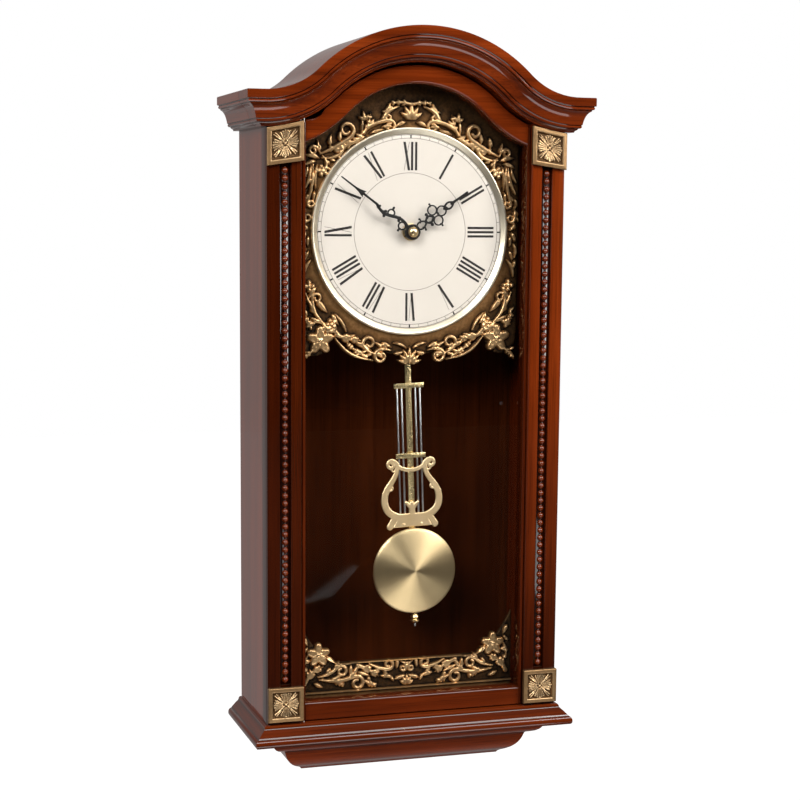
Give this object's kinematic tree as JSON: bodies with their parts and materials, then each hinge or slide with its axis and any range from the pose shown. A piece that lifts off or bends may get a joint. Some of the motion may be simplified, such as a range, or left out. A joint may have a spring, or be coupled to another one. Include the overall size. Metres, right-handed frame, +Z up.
{
  "type": "wall clock",
  "caption": "Tall wooden wall clock with an arched crown, an inset glazed door, round dial with two pierced hands and a swinging lyre pendulum.",
  "frame": {"origin": "centre of the hanger plate's keyhole, on the back plane that touches the wall", "axes": "+Z up, +Y into the wall, +X to the viewer's right; the dial faces -Y"},
  "size_m": [0.289, 0.115, 0.6105],
  "materials": {
    "polished_mahogany": "gloss lacquer",
    "dark_mahogany": "gloss lacquer",
    "veneered_board": "satin",
    "antique_brass": "aged, satin",
    "dial_print": "matte",
    "bezel_metal": "polished",
    "black_enamel": "satin",
    "bright_brass": "brushed",
    "zinc_steel": "satin",
    "black_plastic": "fine texture",
    "ivory_plastic": "satin",
    "red_plastic": "satin",
    "cell_jacket": "gloss",
    "clear_glass": "clear"
  },
  "bodies": {
    "case": {"side_panel_left": "polished_mahogany", "side_panel_right": "polished_mahogany", "pilaster_left": "polished_mahogany", "pilaster_right": "polished_mahogany", "bead_strip_left": "dark_mahogany", "bead_strip_right": "dark_mahogany", "rosette_top_left": "antique_brass", "rosette_top_right": "antique_brass", "rosette_bottom_left": "antique_brass", "rosette_bottom_right": "antique_brass", "crown_front": "polished_mahogany", "crown_return_left": "polished_mahogany", "crown_return_right": "polished_mahogany", "crown_roof": "polished_mahogany", "base_board": "polished_mahogany", "base_moulding_front": "polished_mahogany", "base_moulding_left": "polished_mahogany", "base_moulding_right": "polished_mahogany", "base_skirt": "polished_mahogany", "back_board": "veneered_board", "back_board_screws": "zinc_steel", "hanger_plate": "zinc_steel", "hanger_screws": "zinc_steel", "door_pivot_pins": "zinc_steel", "catch_magnet": "black_plastic", "dial_board": "veneered_board", "upper_ornament": "antique_brass", "lower_ornament": "antique_brass", "dial_face": "dial_print", "dial_bezel": "bezel_metal", "centre_nut": "bright_brass", "movement_front_shell": "black_plastic", "movement_rear_shell": "black_plastic", "batteries": "cell_jacket", "speaker": "black_plastic", "pendulum_pivot_pin": "zinc_steel"},
    "door": {"door_top_rail": "polished_mahogany", "door_bottom_rail": "polished_mahogany", "door_stile_left": "dark_mahogany", "door_stile_right": "dark_mahogany", "door_glass": "clear_glass", "door_strike": "zinc_steel"},
    "minute_hand": {"minute_hand": "black_enamel", "minute_shaft": "bright_brass", "hand_cap": "bright_brass"},
    "hour_hand": {"hour_hand": "black_enamel", "hour_tube": "bright_brass"},
    "pendulum": {"pendulum_hook": "ivory_plastic", "pendulum_rod": "bright_brass", "pendulum_bars": "bright_brass", "lyre_rods": "zinc_steel", "lyre_plate": "bright_brass", "pendulum_bob": "bright_brass", "rating_stem": "zinc_steel"},
    "rating_nut": {"rating_nut": "bright_brass"},
    "set_knob": {"set_knob": "ivory_plastic"},
    "volume_knob": {"volume_knob": "black_plastic"},
    "chime_switch": {"chime_switch": "ivory_plastic"},
    "test_button": {"test_button": "red_plastic"},
    "battery_cover": {"battery_cover": "black_plastic"}
  },
  "joints": [
    {"name": "door_hinge", "type": "hinge", "parent": "case", "child": "door", "pos_m": [-0.0945, -0.0922, -0.282], "axis": [0, 0, -1], "range_deg": [0, 85]},
    {"name": "minute_turn", "type": "hinge", "parent": "case", "child": "minute_hand", "pos_m": [0, -0.08, -0.1226], "axis": [0, 1, 0], "continuous": true},
    {"name": "hour_turn", "type": "hinge", "parent": "case", "child": "hour_hand", "pos_m": [0, -0.0778, -0.1226], "axis": [0, 1, 0], "continuous": true},
    {"name": "set_knob_turn", "type": "hinge", "parent": "case", "child": "set_knob", "pos_m": [-0.045, -0.035, -0.097], "axis": [0, 1, 0], "continuous": true},
    {"name": "pendulum_swing", "type": "hinge", "parent": "case", "child": "pendulum", "pos_m": [0, -0.055, -0.118], "axis": [0, 1, 0], "range_deg": [-2.8, 7.2]},
    {"name": "rating_nut_turn", "type": "hinge", "parent": "pendulum", "child": "rating_nut", "pos_m": [0.01271, -0.055, -0.44876], "axis": [-0.0384, 0, 0.9993], "range_deg": [-360, 360]},
    {"name": "volume_turn", "type": "hinge", "parent": "case", "child": "volume_knob", "pos_m": [0.045, -0.035, -0.1], "axis": [0, -1, 0], "range_deg": [0, 270]},
    {"name": "chime_switch_slide", "type": "slide", "parent": "case", "child": "chime_switch", "axis": [1, 0, 0], "range_m": [0, 0.006]},
    {"name": "test_button_press", "type": "slide", "parent": "case", "child": "test_button", "axis": [0, -1, 0], "range_m": [0, 0.0015], "stiffness_N_per_m": 300},
    {"name": "battery_cover_slide", "type": "slide", "parent": "case", "child": "battery_cover", "axis": [0, 0, -1], "range_m": [0, 0.012]}
  ],
  "couplings": [
    {"joint": "hour_turn", "follows": "minute_turn", "ratio": 0.083333},
    {"joint": "set_knob_turn", "follows": "minute_turn", "ratio": -1}
  ]
}
